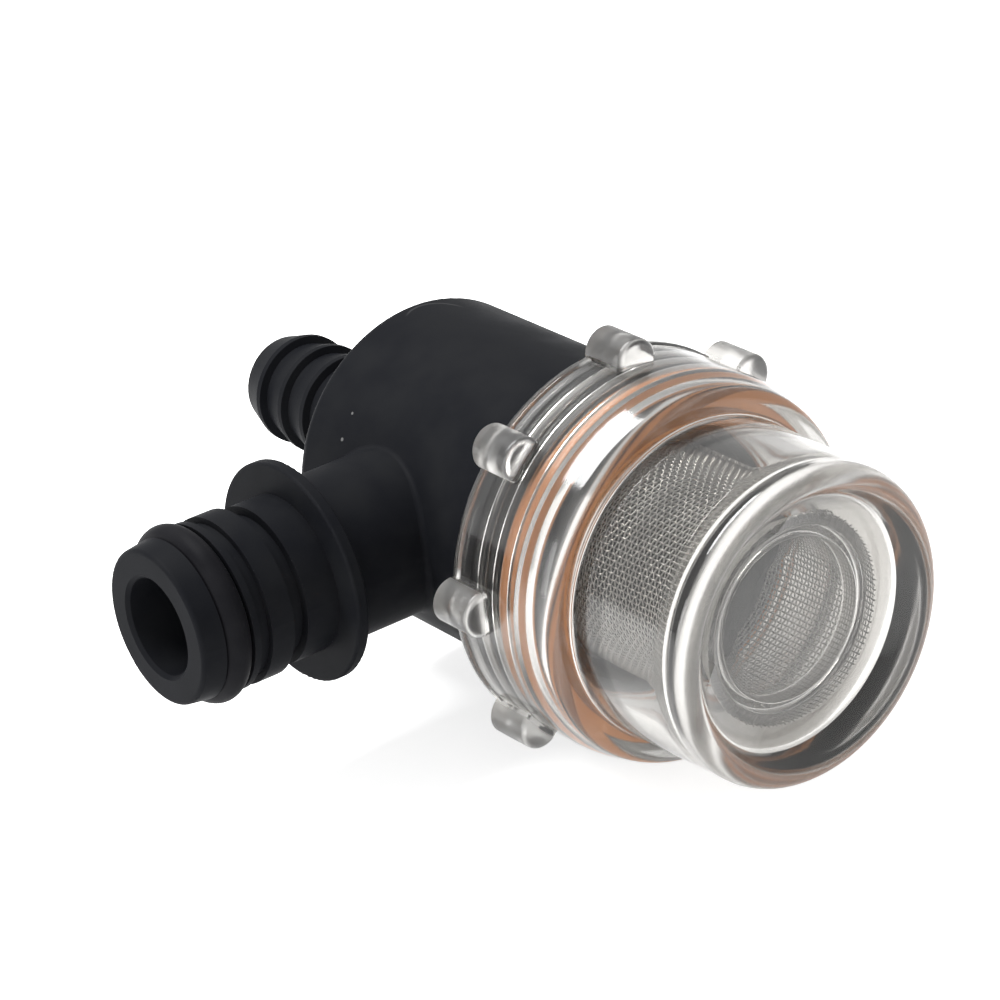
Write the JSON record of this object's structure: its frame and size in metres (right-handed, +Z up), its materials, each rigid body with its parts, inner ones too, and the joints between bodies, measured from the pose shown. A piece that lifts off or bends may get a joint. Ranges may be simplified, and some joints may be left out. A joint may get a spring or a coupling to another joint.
{
  "type": "sea water strainer",
  "caption": "In-line pump strainer: black housing with a hose barb and a plug-in port, wire-cloth screen and clear screw-on bowl.",
  "frame": {"origin": "middle of the flange face that seats against the pump's port", "axes": "-Y along the plug, the way it goes into the port; +X along the body towards the clear bowl; +Z up"},
  "size_m": [0.1133, 0.085, 0.0584],
  "materials": {
    "black_plastic": "satin, moulded",
    "black_rubber": "smooth",
    "orange_silicone": "smooth, glossy",
    "clear_plastic": "clear, polished",
    "steel_cloth": "woven stainless wire"
  },
  "bodies": {
    "housing": {"housing": "black_plastic", "plug_seal": "black_rubber", "bowl_seal": "orange_silicone"},
    "screen": {"screen_mesh": "steel_cloth"},
    "bowl": {"bowl": "clear_plastic"}
  },
  "joints": [
    {"name": "bowl_travel", "type": "slide", "parent": "housing", "child": "screen", "axis": [1, 0, 0], "range_m": [0, 0.00675]},
    {"name": "bowl_turn", "type": "hinge", "parent": "screen", "child": "bowl", "pos_m": [0.04, 0.03515, 0], "axis": [1, 0, 0], "range_deg": [0, 810]}
  ],
  "couplings": [
    {"joint": "bowl_turn", "follows": "bowl_travel", "rad_per_m": 2094.4}
  ]
}
